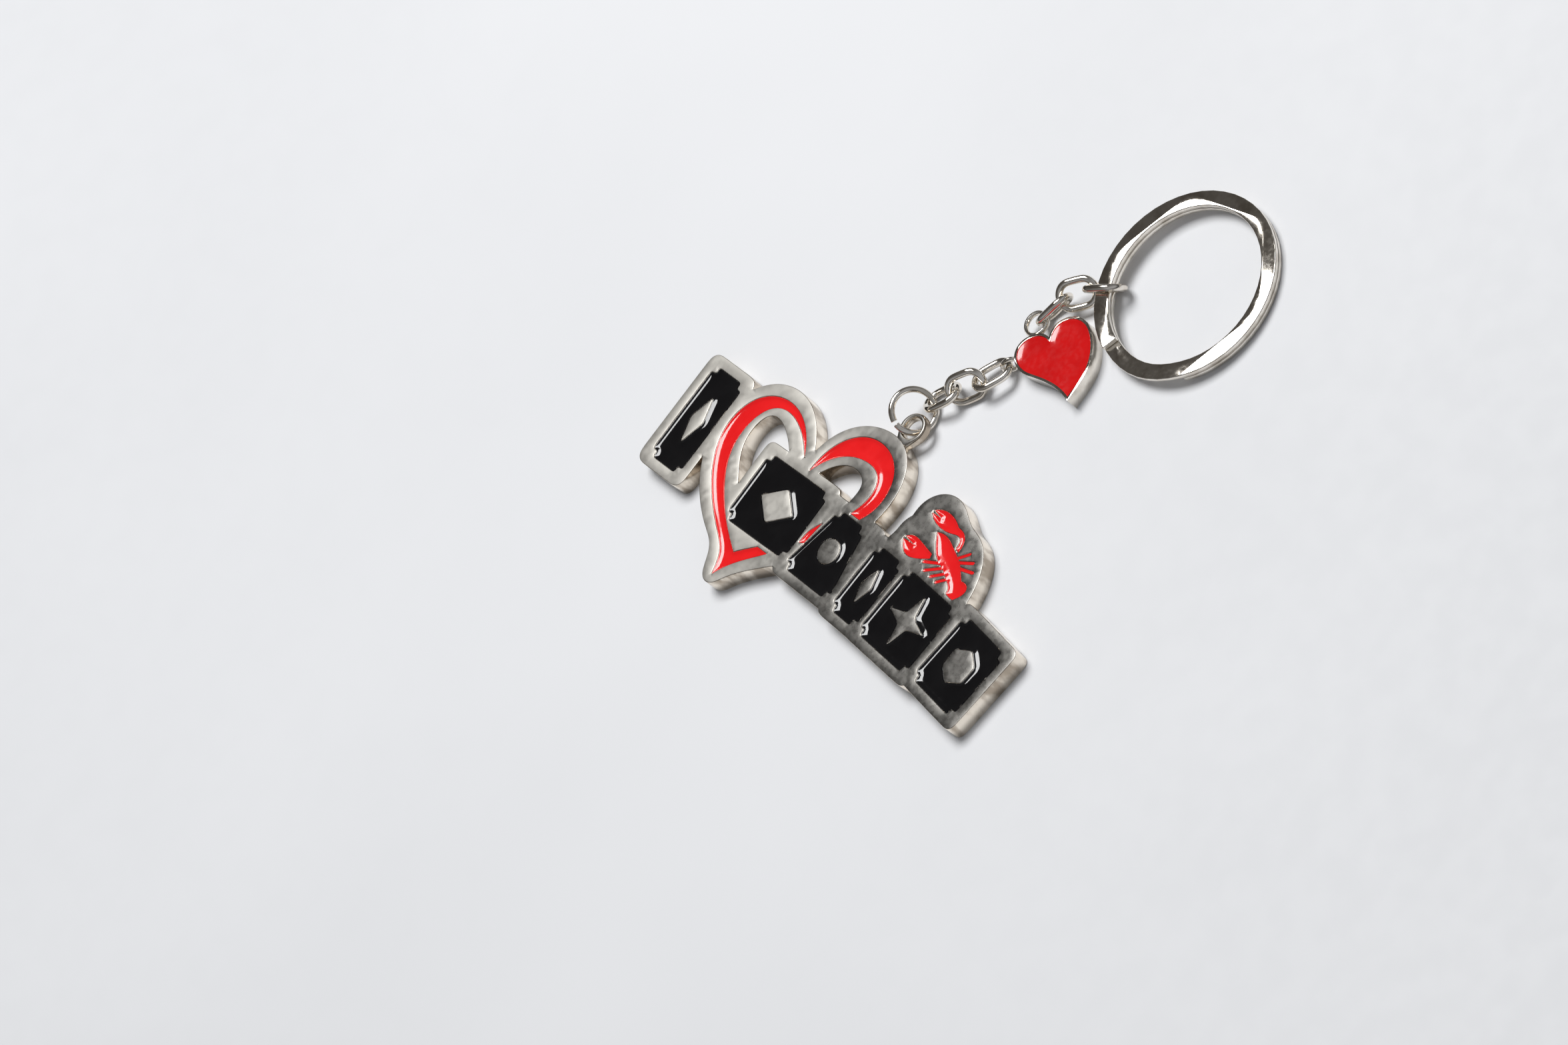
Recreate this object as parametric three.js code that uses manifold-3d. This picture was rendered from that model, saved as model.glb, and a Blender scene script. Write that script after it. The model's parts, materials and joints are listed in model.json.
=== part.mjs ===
// A souvenir keychain, laid flat: a cast plate with enamel-filled cells, a jump ring, a short
// chain with a heart charm half way along it, and a flat split ring for the keys.
//
// The plate lies in the XY plane. X runs along its row of tiles, Y across them, Z is up.
// The origin is at the middle of the bottom of the whole keychain's box.

import * as THREE from 'three';
import { mergeVertices } from 'three/addons/utils/BufferGeometryUtils.js';
import Module from 'manifold-3d';

const wasm = await Module();
wasm.setup();

// ---------------------------------------------------------------------------------------
// Driving dimensions, in millimetres unless they say otherwise
// ---------------------------------------------------------------------------------------

const GRID = 0.9;              // one step of the grid that the outlines are drawn on
const CURVE_STEPS = 10;        // straight pieces in each curved stretch of an outline

const PLATE_THICKNESS = 2.7;
const CELL_DEPTH = 0.7;        // how deep the plate is sunk where enamel goes
const ENAMEL_DROP = 0.1;       // the enamel's face lies this far below the metal
const ENAMEL_GAP = 0.04;       // clearance between an enamel filling and its cell

const TILE_BORDER = 1.7 * GRID;
const TILE_BORDER_RADIUS = 1.3 * GRID;
const TILE_STEP = 1.1 * GRID;  // the square step cut from each corner of a tile

const EAR_CENTRE = [41.8 * GRID, 26.8 * GRID];
const EAR_RADIUS = 1.9;        // to the middle of the ear's wall
const EAR_WALL = 0.8;
const EAR_HEIGHT = 1.5;
const EAR_LEVEL = PLATE_THICKNESS - EAR_HEIGHT / 2;
const NECK = { length: 2.2, width: 2.6, below: 2.7 };   // joins the ear to the heart

const JUMP_RADIUS = 3.05;      // to the middle of the wire
const JUMP_WIRE = 0.9;
const JUMP_OPENING = 4;        // degrees left open where the wire's ends meet
const JUMP_PLACE = [EAR_CENTRE[0] - 1.6, EAR_CENTRE[1] + 1.95, 2.66];
const JUMP_LEAN = 45;          // degrees, down towards its heading
const JUMP_HEADING = 20;
const JUMP_GAP_AT = 230;       // where its opening is, in degrees round the ring
const JUMP_HOLDS_AT = 50;      // where the first link hangs on it

const LINK_WIRE = 1.1;
const LINK_LENGTH = 6.5;       // outside
const LINK_WIDTH = 4.8;        // outside
const LINK_END = (LINK_LENGTH - LINK_WIRE) / 2;   // from a link's middle to its end's wire
const SLACK = 0.12;            // space between two pieces that hang on each other

const CHARM_THICKNESS = 2.4;
const CHARM_RIM = 0.35;        // width of the metal rim round the charm's enamel
const CHARM_CELL_DEPTH = 0.5;
const CHARM_HEADING = 38.9;    // degrees
const TOP_EAR = { x: -2.9 * GRID, y: 3.1 * GRID, radius: 1.7, wall: 0.65, height: 0.9 };
const EAR_ROOM = 0.25;
const TOP_EAR_LEVEL = CHARM_THICKNESS - TOP_EAR.height / 2;
const SIDE_EAR = { x: -7.1 * GRID, y: -2.7 * GRID, radius: 1.2, wall: 0.65, level: 1.53, turn: 20 };

const RING_RADIUS = 14;        // outside
const RING_BAND = 2.3;         // width of the flat band, across the ring
const RING_COIL = 0.8;         // thickness of one coil
const RING_SEAM = 0.05;        // space between the two coils
const RING_TURNS = 1.83;
const RING_STEP = [0.87, 1];   // the stretch, in turns, that climbs from the lower coil
const RING_STEPS = 88;         // straight pieces in the wound band
const BOW_ROOM = 0.7;          // how far the band stays out of the last link's round end
const RING_LEVEL = 1.6;        // height of its middle
const RING_TILT = 3.0;         // degrees, raised at the chain
const RING_ENDS_AT = -47;      // degrees, where the lower coil's cut end is

// ---------------------------------------------------------------------------------------
// Materials
// ---------------------------------------------------------------------------------------

const material = (color, roughness, metalness) =>
  new THREE.MeshStandardMaterial({ color, roughness, metalness });

const NICKEL = material(0xb9b5ac, 0.3, 1);
const POLISHED = material(0xc9c6be, 0.12, 1);
const BLACK_ENAMEL = material(0x0b0b0d, 0.08, 0);
const RED_ENAMEL = material(0xe0201f, 0.12, 0);
const CHARM_RED = material(0xc41518, 0.12, 0);

// ---------------------------------------------------------------------------------------
// Solids: three.js geometry in and out of the boolean library
// ---------------------------------------------------------------------------------------

function solid(geometry) {
  const bare = geometry.clone();
  bare.deleteAttribute('normal');
  bare.deleteAttribute('uv');
  const merged = mergeVertices(bare, 1e-5);
  const mesh = new wasm.Mesh({
    numProp: 3,
    vertProperties: new Float32Array(merged.attributes.position.array),
    triVerts: new Uint32Array(merged.index.array),
  });
  mesh.merge();
  return new wasm.Manifold(mesh);
}

function geometryOf(body) {
  const mesh = body.getMesh();
  const geometry = new THREE.BufferGeometry();
  geometry.setAttribute('position', new THREE.BufferAttribute(mesh.vertProperties, 3));
  geometry.setIndex(new THREE.BufferAttribute(mesh.triVerts, 1));
  return geometry;
}

const joined = (bodies) => bodies.reduce((sum, body) => sum.add(body));

function slab(shape, bottom, top) {
  const geometry = new THREE.ExtrudeGeometry(shape, {
    depth: top - bottom,
    bevelEnabled: false,
    curveSegments: CURVE_STEPS,
  });
  return geometry.translate(0, 0, bottom);
}

// ---------------------------------------------------------------------------------------
// Outlines
// ---------------------------------------------------------------------------------------

// An outline on the grid: a start point, then a point for each straight stretch, or two
// control points and an end point for each curved one.
function outline(start, ...stretches) {
  const shape = new THREE.Shape();
  shape.moveTo(start[0] * GRID, start[1] * GRID);
  for (const stretch of stretches) {
    const numbers = stretch.map((value) => value * GRID);
    if (numbers.length === 2) {
      shape.lineTo(...numbers);
    } else {
      shape.bezierCurveTo(...numbers);
    }
  }
  return shape;
}

function polygon(points) {
  return new THREE.Shape(points.map(([x, y]) => new THREE.Vector2(x, y)));
}

function roundedRectangle(width, height, radius) {
  const x = width / 2 - radius;
  const y = height / 2 - radius;
  const quarter = Math.PI / 2;
  const shape = new THREE.Shape();
  shape.absarc(x, y, radius, 0, quarter);
  shape.absarc(-x, y, radius, quarter, 2 * quarter);
  shape.absarc(-x, -y, radius, 2 * quarter, 3 * quarter);
  shape.absarc(x, -y, radius, 3 * quarter, 4 * quarter);
  return shape;
}

// Moves every point of a closed outline inwards by the same distance (outwards if negative).
function inset(points, distance) {
  const count = points.length;
  const turn = THREE.ShapeUtils.area(points) > 0 ? 1 : -1;
  return points.map((point, i) => {
    const before = points[(i + count - 1) % count];
    const after = points[(i + 1) % count];
    const first = point.clone().sub(before).normalize();
    const second = after.clone().sub(point).normalize();
    const bisector = new THREE.Vector2(-first.y - second.y, first.x + second.x).normalize();
    const reach = Math.max(0.5, bisector.dot(new THREE.Vector2(-first.y, first.x)));
    return point.clone().addScaledVector(bisector, (turn * distance) / reach);
  });
}

// The cut for a cell and the enamel that fills it, from one outline and the windows in it.
function cellAndFilling(shape, windows, place, face, depth) {
  const distinct = (points) => points.filter((p, i) => p.distanceTo(points.at(i - 1)) > 1e-4);
  const edge = distinct(shape.getPoints(CURVE_STEPS));
  const windowEdges = windows.map((window) => distinct(window.getPoints(CURVE_STEPS)));
  const make = (gap, bottom, top) => {
    const flat = new THREE.Shape(inset(edge, gap));
    flat.holes = windowEdges.map((points) => new THREE.Path(inset(points, -gap)));
    return slab(flat, bottom, top).applyMatrix4(place);
  };
  return {
    cut: solid(make(0, face - depth, face + 1)),
    filling: make(ENAMEL_GAP, face - depth + ENAMEL_GAP, face - ENAMEL_DROP),
  };
}

// ---------------------------------------------------------------------------------------
// The plate's outlines
// ---------------------------------------------------------------------------------------

// The tall tile at the left: its centre and size on the grid
const TALL_TILE = { centre: [3.95, 8.4], width: 7.9, height: 16.8, turn: 0 };
const TALL_BORDER = { width: 11.6, height: 20.3, radius: 1.7 };

// The row of five tiles: centres, sizes and the slight turn (degrees) that follows the
// row's shallow curve. The second one narrows towards its top.
const TILES = [
  { centre: [28.95, 5.35], width: 15.7, height: 11.9, turn: 0.9 },
  { centre: [43.6, 4.6], width: 11.8, height: 11.9, turn: -0.6, topWidth: 7.4 },
  { centre: [54.35, 3.85], width: 6.9, height: 12, turn: -2 },
  { centre: [65.4, 3.3], width: 13.4, height: 12.2, turn: -3.5 },
  { centre: [79.65, 2.65], width: 11.7, height: 12.2, turn: -6.5 },
];

function placeOf(tile) {
  const [x, y] = tile.centre;
  const matrix = new THREE.Matrix4().makeRotationZ(THREE.MathUtils.degToRad(tile.turn));
  return matrix.setPosition(x * GRID, y * GRID, 0);
}

// A tile: a block with a square step cut from each corner
function tileShape({ width, height, topWidth = width }) {
  const low = (width * GRID) / 2;
  const high = (topWidth * GRID) / 2;
  const y = (height * GRID) / 2;
  const step = TILE_STEP;
  return polygon([
    [low - step, -y], [low - step, step - y], [low, step - y],
    [high, y - step], [high - step, y - step], [high - step, y],
    [step - high, y], [step - high, y - step], [-high, y - step],
    [-low, step - y], [step - low, step - y], [step - low, -y],
  ]);
}

function diamond(width, height) {
  const x = (width * GRID) / 2;
  const y = (height * GRID) / 2;
  return polygon([[x, 0], [0, y], [-x, 0], [0, -y]]);
}

function disc(radius) {
  const shape = new THREE.Shape();
  shape.absarc(0, 0, radius * GRID, 0, 2 * Math.PI);
  return shape;
}

// A star, or with equal radii a regular polygon
function star(points, outer, inner) {
  const corners = [];
  for (let i = 0; i < 2 * points; i += 1) {
    const radius = (i % 2 === 0 ? outer : inner) * GRID;
    const angle = Math.PI / 2 + (i * Math.PI) / points;
    corners.push([radius * Math.cos(angle), radius * Math.sin(angle)]);
  }
  return polygon(corners);
}

// The metal figure left standing in the middle of each tile
const TALL_WINDOW = diamond(3, 8.4);
const TILE_WINDOWS = [
  diamond(8.2, 6.2),
  disc(2.3),
  diamond(2.4, 6.4),
  star(4, 4.6, 1.5),
  star(3, 3.1, 3.1),
];

// The open heart behind the row of tiles
const HEART = outline([28.4, 15.4],
  [25.5, 19.3, 22.0, 21.3, 18.0, 21.3],
  [12.2, 21.3, 7.7, 16.8, 7.7, 11.0],
  [7.7, 4.2, 14.4, -1.6, 20.6, -4.2],
  [23.4, -5.4, 23.3, -6.8, 24.2, -8.4],
  [24.8, -9.6, 25.5, -10.3, 26.5, -10.3],
  [27.5, -10.3, 28.2, -9.5, 28.9, -8.5],
  [30.2, -6.6, 32.3, -5.1, 34.6, -3.3],
  [42.5, 2.2, 48.1, 8.0, 48.1, 15.6],
  [48.1, 20.8, 44.8, 24.5, 40.0, 24.5],
  [34.8, 24.5, 29.4, 21.6, 28.4, 15.4]);

const LEFT_OPENING = outline([24.5, 12.6],
  [22.0, 14.6, 19.8, 16.1, 17.4, 16.1],
  [15.7, 16.1, 14.8, 14.4, 14.8, 11.8],
  [14.8, 8.4, 18.6, 5.6, 20.4, 3.6],
  [24.5, 3.6]);

const RIGHT_OPENING = outline([31.6, 12.4],
  [33.2, 15.4, 35.4, 16.9, 37.7, 16.9],
  [39.8, 16.9, 41.2, 15.8, 41.0, 14.2],
  [40.6, 11.4],
  [31.6, 11.4]);

// The red band of the heart, in the three lengths that the row of tiles leaves in sight
const LEFT_BAND = outline([27.4, 13.6],
  [25.4, 16.8, 21.8, 19.1, 18.0, 19.1],
  [13.0, 19.1, 9.7, 15.8, 9.7, 11.2],
  [9.7, 6.2, 14.6, 1.6, 19.8, -1.7],
  [22.4, -3.3, 24.4, -4.3, 25.2, -5.4],
  [25.8, -6.3, 26.2, -7.5, 26.6, -8.7],
  [27.2, -7.4, 28.2, -6.1, 29.6, -4.7],
  [30.9, -3.5, 32.2, -2.4, 33.4, -1.3],
  [30.9, -1.3],
  [29.8, -2.2, 28.4, -3.2, 27.5, -4.1],
  [25.2, -2.9, 22.8, -1.6, 20.4, 0.3],
  [16.6, 3.4, 13.3, 6.6, 13.3, 11.2],
  [13.3, 14.9, 15.2, 17.8, 18.6, 17.8],
  [21.6, 17.8, 24.9, 16.1, 27.4, 13.6]);

const RIGHT_BAND = outline([29.9, 12.4],
  [29.6, 17.8, 33.2, 22.3, 38.6, 22.3],
  [43.2, 22.3, 46.3, 19.4, 46.3, 15.4],
  [46.3, 13.6, 45.6, 12.2, 44.7, 11.1],
  [42.4, 11.1],
  [43.1, 12.4, 43.6, 13.6, 43.6, 15.2],
  [43.6, 17.4, 42.0, 18.8, 39.3, 18.8],
  [34.6, 18.8, 31.4, 16.0, 29.9, 12.4]);

const BAND_SLIVER = outline([37.35, 3.0],
  [38.35, 3.4],
  [38.9, 7.4],
  [38.2, 6.4, 37.5, 5.4, 37.35, 4.5]);

// The lobed backing above the right half of the row
const BACKING = outline([51.0, 9.0],
  [51.2, 11.3],
  [53.4, 12.2, 51.2, 14.6, 53.1, 16.4],
  [52.3, 19.0, 54.6, 22.6, 58.6, 22.6],
  [61.6, 22.6, 63.2, 20.2, 65.4, 20.1],
  [69.4, 19.8, 72.4, 16.6, 73.2, 11.2],
  [73.4, 9.0]);

// The crustacean on the backing. Its head points up and to the left.
const CREATURE_BODY = outline([59.3, 16.6],
  [60.4, 17.2, 61.9, 17.0, 62.9, 16.6],
  [64.2, 15.9, 66.2, 15.5, 67.7, 14.4],
  [68.5, 13.8, 69.0, 13.2, 69.5, 12.9],
  [70.5, 13.2, 71.6, 13.1, 71.7, 12.4],
  [71.8, 11.6, 71.0, 10.6, 70.3, 9.9],
  [69.6, 9.8, 68.9, 9.9, 68.4, 10.1],
  [68.5, 10.7, 68.4, 10.9, 68.0, 11.1],
  [66.6, 11.9, 65.0, 12.8, 63.1, 13.2],
  [61.6, 13.6, 60.6, 15.0, 59.3, 16.6]);

const LOWER_CLAW = outline([54.5, 13.4],
  [56.3, 13.2],
  [56.9, 13.05],
  [54.4, 12.9],
  [55.0, 11.8, 56.2, 11.1, 57.2, 11.1],
  [58.6, 11.2, 60.0, 12.0, 61.4, 12.8],
  [61.2, 13.5],
  [60.0, 13.7, 58.8, 13.9, 57.6, 14.1],
  [56.4, 14.4, 55.2, 14.3, 54.5, 13.4]);

const UPPER_CLAW = outline([56.1, 19.0],
  [57.8, 18.8],
  [58.3, 18.6],
  [56.0, 18.5],
  [56.8, 17.8, 57.8, 17.5, 59.0, 17.4],
  [60.4, 17.3, 61.8, 17.5, 62.7, 18.0],
  [63.4, 18.2, 64.0, 18.2, 64.3, 17.7],
  [64.5, 17.2, 64.6, 16.8, 64.5, 16.3],
  [65.4, 16.0],
  [65.5, 17.2, 65.4, 18.2, 64.6, 18.7],
  [63.8, 19.1, 63.0, 19.0, 62.4, 19.0],
  [61.0, 20.0, 57.6, 20.6, 56.1, 19.0]);

// Legs: from the hip, beside the body, to the foot, with the leg's width
const LEG_WIDTH = 0.5;
const LEGS = [
  [[63.8, 13.2], [60.7, 11.9]],
  [[64.9, 12.9], [61.9, 10.9]],
  [[65.9, 12.4], [63.7, 10.7]],
  [[66.9, 11.9], [65.3, 10.5]],
  [[65.9, 15.2], [67.6, 16.9]],
  [[66.6, 14.8], [69.3, 16.1]],
  [[67.5, 14.2], [70.4, 14.9]],
];

function legShape([hip, foot]) {
  const [hipX, hipY] = hip;
  const along = new THREE.Vector2(foot[0] - hipX, foot[1] - hipY).normalize();
  const side = new THREE.Vector2(-along.y, along.x).multiplyScalar(LEG_WIDTH / 2);
  return outline([hipX + side.x, hipY + side.y],
    [hipX - side.x, hipY - side.y],
    [foot[0] - side.x, foot[1] - side.y],
    [foot[0] + along.x * side.length(), foot[1] + along.y * side.length()],
    [foot[0] + side.x, foot[1] + side.y]);
}

// ---------------------------------------------------------------------------------------
// The plate and its enamel
// ---------------------------------------------------------------------------------------

const HERE = new THREE.Matrix4();

function plateCells() {
  const cell = (shape, windows, place) =>
    cellAndFilling(shape, windows, place, PLATE_THICKNESS, CELL_DEPTH);
  const cells = {
    tall_tile_enamel: cell(tileShape(TALL_TILE), [TALL_WINDOW], placeOf(TALL_TILE)),
  };
  TILES.forEach((tile, i) => {
    cells[`tile_${i + 1}_enamel`] = cell(tileShape(tile), [TILE_WINDOWS[i]], placeOf(tile));
  });
  cells.heart_left_enamel = cell(LEFT_BAND, [], HERE);
  cells.heart_right_enamel = cell(RIGHT_BAND, [], HERE);
  cells.heart_sliver_enamel = cell(BAND_SLIVER, [], HERE);
  cells.lobster_upper_claw_enamel = cell(UPPER_CLAW, [], HERE);
  cells.lobster_lower_claw_enamel = cell(LOWER_CLAW, [], HERE);
  cells.lobster_body_enamel = withLegs(cell(CREATURE_BODY, [], HERE), cell);
  return cells;
}

function withLegs(body, cell) {
  const legs = LEGS.map((leg) => cell(legShape(leg), [], HERE));
  return {
    cut: joined([body.cut, ...legs.map((leg) => leg.cut)]),
    filling: geometryOf(joined([body, ...legs].map((piece) => solid(piece.filling)))),
  };
}

// A ring-shaped ear, taller than its wall is thick, lying flat about the point given
function flatEar(radius, wall, height, x, y, z) {
  const ear = new THREE.TorusGeometry(radius, wall / 2, 10, 26);
  return solid(ear.scale(1, 1, height / wall).translate(x, y, z));
}

function plate(cells) {
  const full = (shape, place = HERE) => solid(slab(shape, 0, PLATE_THICKNESS).applyMatrix4(place));
  const through = (shape) => solid(slab(shape, -1, PLATE_THICKNESS + 1));
  const border = ({ width, height, radius }) =>
    roundedRectangle(width * GRID, height * GRID, radius * GRID);
  const tileBorder = ({ width, height }) =>
    roundedRectangle(width * GRID + 2 * TILE_BORDER, height * GRID + 2 * TILE_BORDER,
      TILE_BORDER_RADIUS);
  const row = joined(TILES.map((tile) => full(tileBorder(tile), placeOf(tile))));
  const neck = new THREE.BoxGeometry(NECK.width, NECK.length, EAR_HEIGHT);
  neck.translate(EAR_CENTRE[0], EAR_CENTRE[1] - NECK.below, EAR_LEVEL);
  const ear = flatEar(EAR_RADIUS, EAR_WALL, EAR_HEIGHT, ...EAR_CENTRE, EAR_LEVEL);
  const heart = full(HEART).subtract(through(LEFT_OPENING)).subtract(through(RIGHT_OPENING));
  const tall = full(border(TALL_BORDER), placeOf(TALL_TILE));
  const blank = joined([heart, tall, row, full(BACKING), ear, solid(neck)]);
  return Object.values(cells).reduce((rest, { cut }) => rest.subtract(cut), blank);
}

// ---------------------------------------------------------------------------------------
// Rings and links
// ---------------------------------------------------------------------------------------

// Bends a straight bar that lies along X round a ring of this radius
function bend(geometry, length, radius, opening) {
  const sweep = 2 * Math.PI - opening;
  const position = geometry.attributes.position;
  for (let i = 0; i < position.count; i += 1) {
    const angle = opening / 2 + (position.getX(i) / length + 0.5) * sweep;
    const reach = radius - position.getY(i);
    position.setXY(i, reach * Math.cos(angle), reach * Math.sin(angle));
  }
  return geometry;
}

// An open ring of round wire, flat, with its opening at +X
function jumpRing() {
  const wire = new THREE.CylinderGeometry(JUMP_WIRE / 2, JUMP_WIRE / 2, 1, 10, 40);
  const opening = THREE.MathUtils.degToRad(JUMP_OPENING);
  return bend(wire.rotateZ(-Math.PI / 2), 1, JUMP_RADIUS, opening);
}

// A long round-ended link of round wire, flat, with its length along X
function link() {
  const reach = (LINK_WIDTH - LINK_WIRE) / 2;
  const stretch = (LINK_LENGTH - LINK_WIDTH) / 2;
  const geometry = new THREE.TorusGeometry(reach, LINK_WIRE / 2, 10, 26);
  const position = geometry.attributes.position;
  for (let i = 0; i < position.count; i += 1) {
    position.setX(i, position.getX(i) + Math.sign(position.getX(i)) * stretch);
  }
  return geometry;
}

// The flat band wound twice round: the second turn steps up onto the first one
function splitRing() {
  const rise = RING_COIL + RING_SEAM;
  const middle = RING_RADIUS - RING_BAND / 2;
  const band = new THREE.BoxGeometry(1, RING_BAND, RING_COIL, RING_STEPS, 1, 1);
  const position = band.attributes.position;
  for (let i = 0; i < position.count; i += 1) {
    const turn = (position.getX(i) + 0.5) * RING_TURNS;
    const reach = middle - position.getY(i);
    const angle = 2 * Math.PI * turn;
    const lift = THREE.MathUtils.smoothstep(turn, ...RING_STEP) * rise;
    position.setXYZ(i, reach * Math.cos(angle), reach * Math.sin(angle),
      position.getZ(i) + lift - rise / 2);
  }
  return band;
}

// ---------------------------------------------------------------------------------------
// The heart charm, its notch at the origin and its tip towards -Y
// ---------------------------------------------------------------------------------------

const CHARM = outline([0, 0],
  [-0.6, 0.7, -1.4, 1.1, -2.5, 1.1],
  [-4.6, 1.1, -6.0, -0.1, -6.0, -1.8],
  [-6.0, -3.6, -4.6, -5.1, -2.7, -6.0],
  [0.4, -7.5, 3.0, -9.0, 4.75, -11.6],
  [6.3, -9.6, 8.3, -7.4, 8.3, -4.2],
  [8.3, -0.3, 6.4, 2.8, 3.3, 2.8],
  [1.3, 2.8, 0.1, 1.6, 0, 0]);

function charmParts() {
  const edge = CHARM.getPoints(CURVE_STEPS).slice(1);
  const face = new THREE.Shape(inset(edge, CHARM_RIM));
  const cell = cellAndFilling(face, [], HERE, CHARM_THICKNESS, CHARM_CELL_DEPTH);
  const top = TOP_EAR;
  const topEar = flatEar(top.radius, top.wall, top.height, top.x, top.y, TOP_EAR_LEVEL);
  const sideEar = new THREE.TorusGeometry(SIDE_EAR.radius, SIDE_EAR.wall / 2, 8, 20);
  sideEar.rotateX(Math.PI / 2).rotateZ(THREE.MathUtils.degToRad(SIDE_EAR.turn));
  sideEar.translate(SIDE_EAR.x, SIDE_EAR.y, SIDE_EAR.level);
  const heart = solid(slab(CHARM, 0, CHARM_THICKNESS));
  const ears = joined([topEar, solid(sideEar)]);
  const metal = joined([heart, ears]).subtract(cell.cut);
  return { metal: geometryOf(metal), enamel: cell.filling };
}

// ---------------------------------------------------------------------------------------
// Assembly
// ---------------------------------------------------------------------------------------

const object = new THREE.Group();
const Z_AXIS = new THREE.Vector3(0, 0, 1);

function add(name, geometry, look, parent = object) {
  const mesh = new THREE.Mesh(geometry, look);
  mesh.name = name;
  parent.add(mesh);
  return mesh;
}

// Turns a piece about its own length (roll), lifts its front end (pitch) and points it
// across the table (heading), all in degrees, with its middle at the point given.
function lay(piece, [x, y, z], { heading = 0, pitch = 0, roll = 0 }) {
  const { degToRad } = THREE.MathUtils;
  piece.position.set(x, y, z);
  piece.rotation.set(degToRad(roll), -degToRad(pitch), degToRad(heading), 'ZYX');
}

const cells = plateCells();
add('pendant_plate', geometryOf(plate(cells)), NICKEL);
for (const [name, { filling }] of Object.entries(cells)) {
  const black = name.startsWith('tile') || name.startsWith('tall');
  add(name, filling, black ? BLACK_ENAMEL : RED_ENAMEL);
}

const direction = ({ heading = 0, pitch = 0 }) => {
  const flat = Math.cos(THREE.MathUtils.degToRad(pitch));
  const turn = THREE.MathUtils.degToRad(heading);
  return new THREE.Vector3(flat * Math.cos(turn), flat * Math.sin(turn),
    Math.sin(THREE.MathUtils.degToRad(pitch)));
};

// Lays a run of links end to end from the wire (or wall) that the first one hangs on, and
// returns the middle of the wire at the far end of the last one.
function layLinks(first, start, wire, run) {
  let end = start;
  run.forEach((turns, i) => {
    const held = (i === 0 ? wire : LINK_WIRE) / 2 + LINK_WIRE / 2 + SLACK;
    const along = direction(turns);
    const at = end.clone().addScaledVector(along, LINK_END - held);
    lay(add(`chain_link_${first + i}`, link(), POLISHED), at.toArray(), turns);
    end = at.clone().addScaledVector(along, LINK_END);
  });
  return end;
}

const jump = add('jump_ring', jumpRing(), POLISHED);
lay(jump, JUMP_PLACE, { heading: JUMP_HEADING, pitch: -JUMP_LEAN });
jump.rotateZ(THREE.MathUtils.degToRad(JUMP_GAP_AT));
jump.updateMatrix();

// From the jump ring to the charm's side ear
const holdAngle = THREE.MathUtils.degToRad(JUMP_HOLDS_AT - JUMP_GAP_AT);
const onJump = new THREE.Vector3(Math.cos(holdAngle), Math.sin(holdAngle), 0);
const firstRun = [
  { heading: 45, pitch: 9, roll: -24 },
  { heading: 50, pitch: 0, roll: 46 },
  { heading: 62, pitch: -5, roll: -14 },
];
const charmEnd = layLinks(1, onJump.multiplyScalar(JUMP_RADIUS).applyMatrix4(jump.matrix),
  JUMP_WIRE, firstRun);

const charm = new THREE.Group();
const { metal, enamel } = charmParts();
add('charm_body', metal, POLISHED, charm);
add('charm_enamel', enamel, CHARM_RED, charm);
object.add(charm);
const earReach = SIDE_EAR.radius - SIDE_EAR.wall / 2 - LINK_WIRE / 2 - SLACK;
const sideEarAt = charmEnd.addScaledVector(direction(firstRun[2]), earReach);
const earOffset = new THREE.Vector3(SIDE_EAR.x, SIDE_EAR.y, 0)
  .applyAxisAngle(Z_AXIS, THREE.MathUtils.degToRad(CHARM_HEADING));
lay(charm, [sideEarAt.x - earOffset.x, sideEarAt.y - earOffset.y, 0],
  { heading: CHARM_HEADING });
charm.updateMatrix();

// From the charm's top ear to the split ring
const secondRun = [
  { heading: 66, pitch: 12, roll: -56 },
  { heading: 46, pitch: -7, roll: 35 },
  { heading: 30, pitch: 0, roll: -65 },
];
const topEarAt = new THREE.Vector3(TOP_EAR.x, TOP_EAR.y, TOP_EAR_LEVEL).applyMatrix4(charm.matrix);
const earSide = direction({ heading: secondRun[0].heading });
const onTopEar = topEarAt.addScaledVector(earSide, TOP_EAR.radius);
const ringEnd = layLinks(4, onTopEar, TOP_EAR.wall + EAR_ROOM, secondRun);

// The split ring lies across the last link, so that side of it is a little raised
const ringWay = direction({ heading: secondRun[2].heading });
const ringReach = RING_RADIUS - RING_BAND - LINK_WIRE / 2 - BOW_ROOM;
const ringCentre = ringEnd.clone().addScaledVector(ringWay, ringReach);
const ring = add('split_ring', splitRing(), POLISHED);
lay(ring, [ringCentre.x, ringCentre.y, RING_LEVEL],
  { heading: secondRun[2].heading, pitch: -RING_TILT });
ring.rotateZ(THREE.MathUtils.degToRad(RING_ENDS_AT - secondRun[2].heading));

object.updateMatrixWorld(true);
const box = new THREE.Box3().setFromObject(object, true);
const middle = box.getCenter(new THREE.Vector3());
object.position.set(-middle.x, -middle.y, -box.min.z);

export default object;
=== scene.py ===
"""The looks of the enamelled souvenir keychain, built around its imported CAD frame.

The charm's body and the split ring keep their CAD meshes and gain rounded edges. The cast
plate is replaced by a finer casting with real cells, the enamel by fine dished surfaces, and
the round wire (the links and the jump ring) by smooth wire, all of the same size and in the
same place.
"""
import json
import math

import bmesh
import bpy
import numpy as np
from mathutils import Matrix, Vector, geometry, kdtree


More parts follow.
